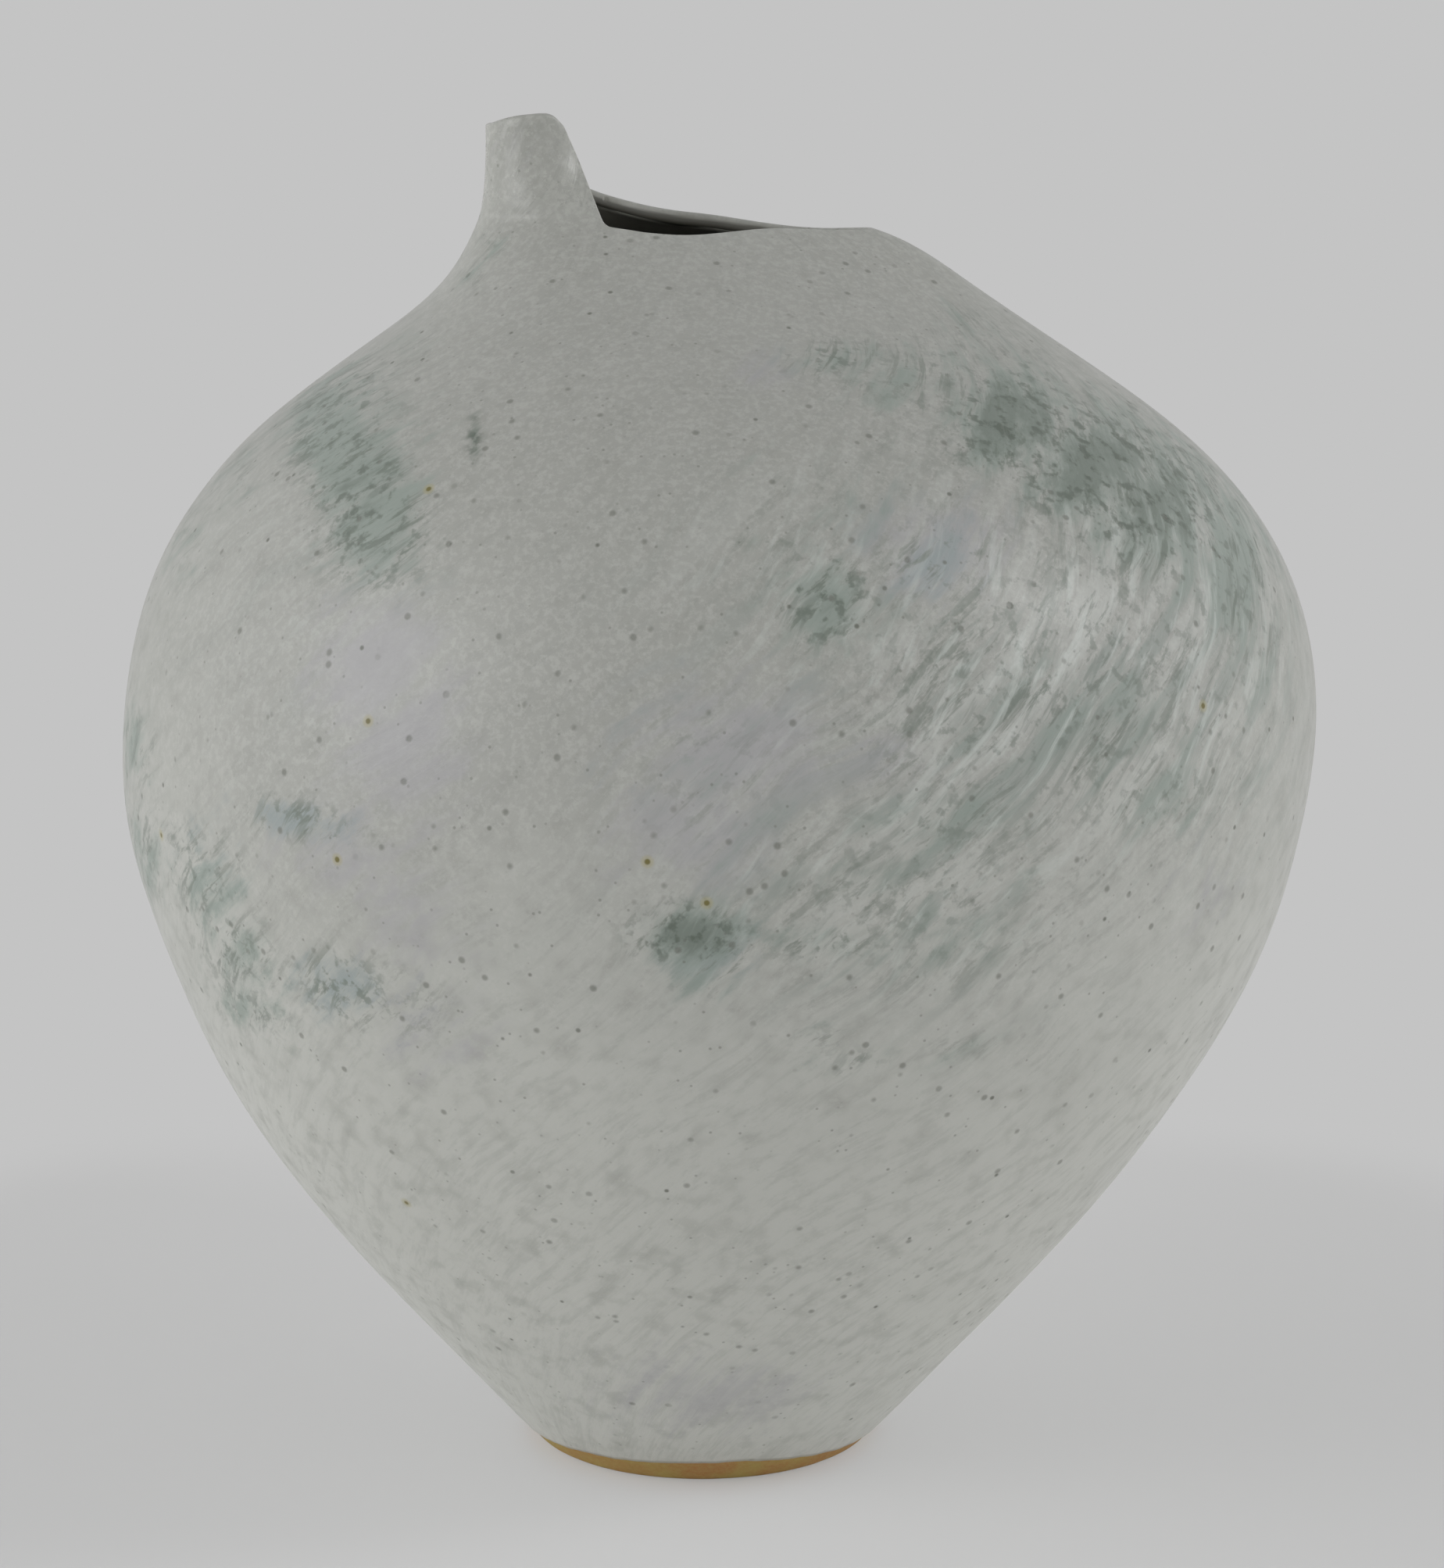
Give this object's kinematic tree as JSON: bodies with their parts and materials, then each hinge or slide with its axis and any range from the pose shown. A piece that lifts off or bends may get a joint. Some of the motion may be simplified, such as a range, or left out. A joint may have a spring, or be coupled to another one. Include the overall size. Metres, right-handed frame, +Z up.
{
  "type": "hand-built ceramic vase",
  "caption": "Round lopsided stoneware vase with a narrow bare foot, an off-centre slit mouth and a raised curled lip peak; grey speckled glaze.",
  "frame": {"origin": "middle of the flat foot, on the surface that the vase stands on", "axes": "+Z up; seen from the front, +X to the right and -Y towards the viewer; the raised peak is on the -X side"},
  "size_m": [0.2655, 0.251, 0.3005],
  "materials": {
    "bare_clay": "unglazed toasted stoneware, matt and slightly gritty",
    "grey_glaze": "satin grey glaze with green-grey clouds, lavender tints and iron specks",
    "dark_liner": "dark olive-grey liner glaze, satin"
  },
  "bodies": {
    "root": {"base_slab": "bare_clay", "base_seam_coil": "bare_clay", "lower_bowl": "bare_clay", "belly_seam_coil": "bare_clay", "upper_bowl": "bare_clay", "mouth_collar": "bare_clay", "lip_peak": "bare_clay", "outer_glaze": "grey_glaze", "inner_glaze": "dark_liner"}
  },
  "joints": []
}
